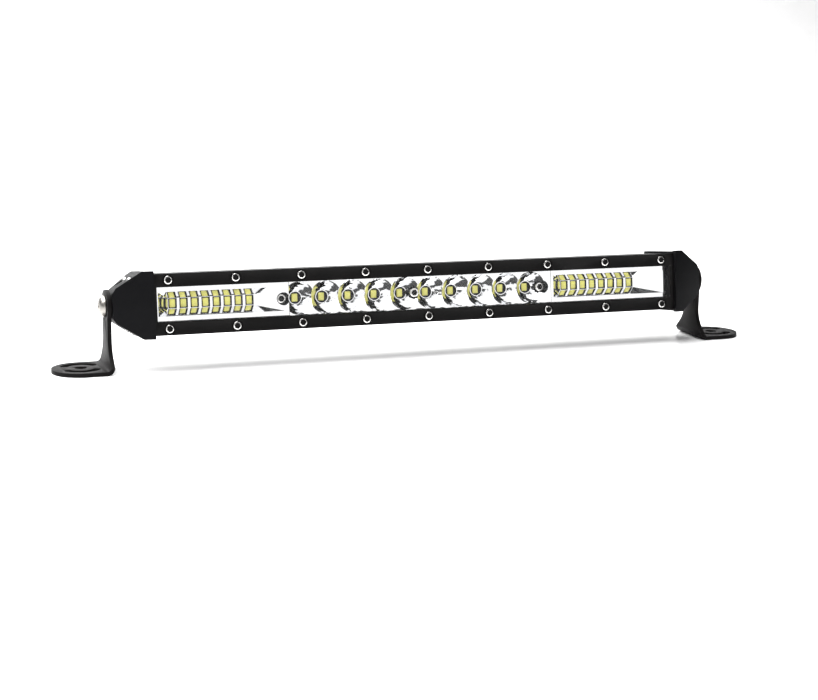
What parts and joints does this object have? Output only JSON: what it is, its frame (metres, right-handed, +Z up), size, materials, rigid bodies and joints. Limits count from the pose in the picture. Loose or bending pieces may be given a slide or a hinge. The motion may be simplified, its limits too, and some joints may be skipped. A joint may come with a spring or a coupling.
{
  "type": "led light bar",
  "caption": "Slim single-row LED light bar with spot and flood reflectors behind a clear lens, pivoting on two bolt-down foot brackets.",
  "frame": {"origin": "under the middle of the whole object, on the plane of the feet's undersides", "axes": "+X along the bar to its right end, seen from the front; the lamp face looks along -Y; +Z up"},
  "size_m": [0.563, 0.0578, 0.0748],
  "materials": {
    "black_anodised": "satin black anodised extrusion",
    "black_cast_cap": "satin black powder coat on die casting",
    "black_powder_coat": "satin black powder coat",
    "bright_steel": "bright stainless",
    "aluminised_mirror": "vacuum aluminised mirror on moulded plastic",
    "clear_polycarbonate": "clear hard-coated polycarbonate",
    "black_silicone": "matt silicone rubber",
    "led_board_black": "black solder mask with yellow phosphor chips",
    "driver_board_green": "green solder mask with parts fitted",
    "black_nylon": "moulded black nylon"
  },
  "bodies": {
    "light_bar": {"front_bezel": "black_anodised", "housing": "black_anodised", "lens_cover": "clear_polycarbonate", "lens_gasket": "black_silicone", "spot_reflector": "aluminised_mirror", "flood_reflector_left": "aluminised_mirror", "flood_reflector_right": "aluminised_mirror", "flood_led_board_left": "led_board_black", "flood_led_board_right": "led_board_black", "spot_led_board": "led_board_black", "reflector_screw_left": "bright_steel", "reflector_screw_middle": "bright_steel", "reflector_screw_right": "bright_steel", "driver_board": "driver_board_green", "cable_gland_body": "black_nylon", "cable_gland_nut": "black_nylon", "cable_gland_plug": "black_silicone", "breather_vent": "black_nylon", "bezel_screw_top_1": "bright_steel", "bezel_screw_top_2": "bright_steel", "bezel_screw_top_3": "bright_steel", "bezel_screw_top_4": "bright_steel", "bezel_screw_top_5": "bright_steel", "bezel_screw_top_6": "bright_steel", "bezel_screw_top_7": "bright_steel", "bezel_screw_top_8": "bright_steel", "bezel_screw_top_9": "bright_steel", "bezel_screw_bottom_1": "bright_steel", "bezel_screw_bottom_2": "bright_steel", "bezel_screw_bottom_3": "bright_steel", "bezel_screw_bottom_4": "bright_steel", "bezel_screw_bottom_5": "bright_steel", "bezel_screw_bottom_6": "bright_steel", "bezel_screw_bottom_7": "bright_steel", "bezel_screw_bottom_8": "bright_steel", "bezel_screw_bottom_9": "bright_steel", "left_end_cap": "black_cast_cap", "left_end_gasket": "black_silicone", "left_cap_screw_1": "bright_steel", "left_cap_screw_2": "bright_steel", "left_cap_screw_3": "bright_steel", "left_cap_screw_4": "bright_steel", "left_pivot_bolt": "bright_steel", "right_end_cap": "black_cast_cap", "right_end_gasket": "black_silicone", "right_cap_screw_1": "bright_steel", "right_cap_screw_2": "bright_steel", "right_cap_screw_3": "bright_steel", "right_cap_screw_4": "bright_steel", "right_pivot_bolt": "bright_steel"},
    "left_foot": {"left_bracket": "black_powder_coat"},
    "right_foot": {"right_bracket": "black_powder_coat"}
  },
  "joints": [
    {"name": "left_foot_pivot", "type": "hinge", "parent": "light_bar", "child": "left_foot", "pos_m": [-0.2408, -0.00094, 0.0472], "axis": [1, 0, 0], "continuous": true},
    {"name": "right_foot_pivot", "type": "hinge", "parent": "light_bar", "child": "right_foot", "pos_m": [0.2408, -0.00094, 0.0472], "axis": [1, 0, 0], "continuous": true}
  ]
}
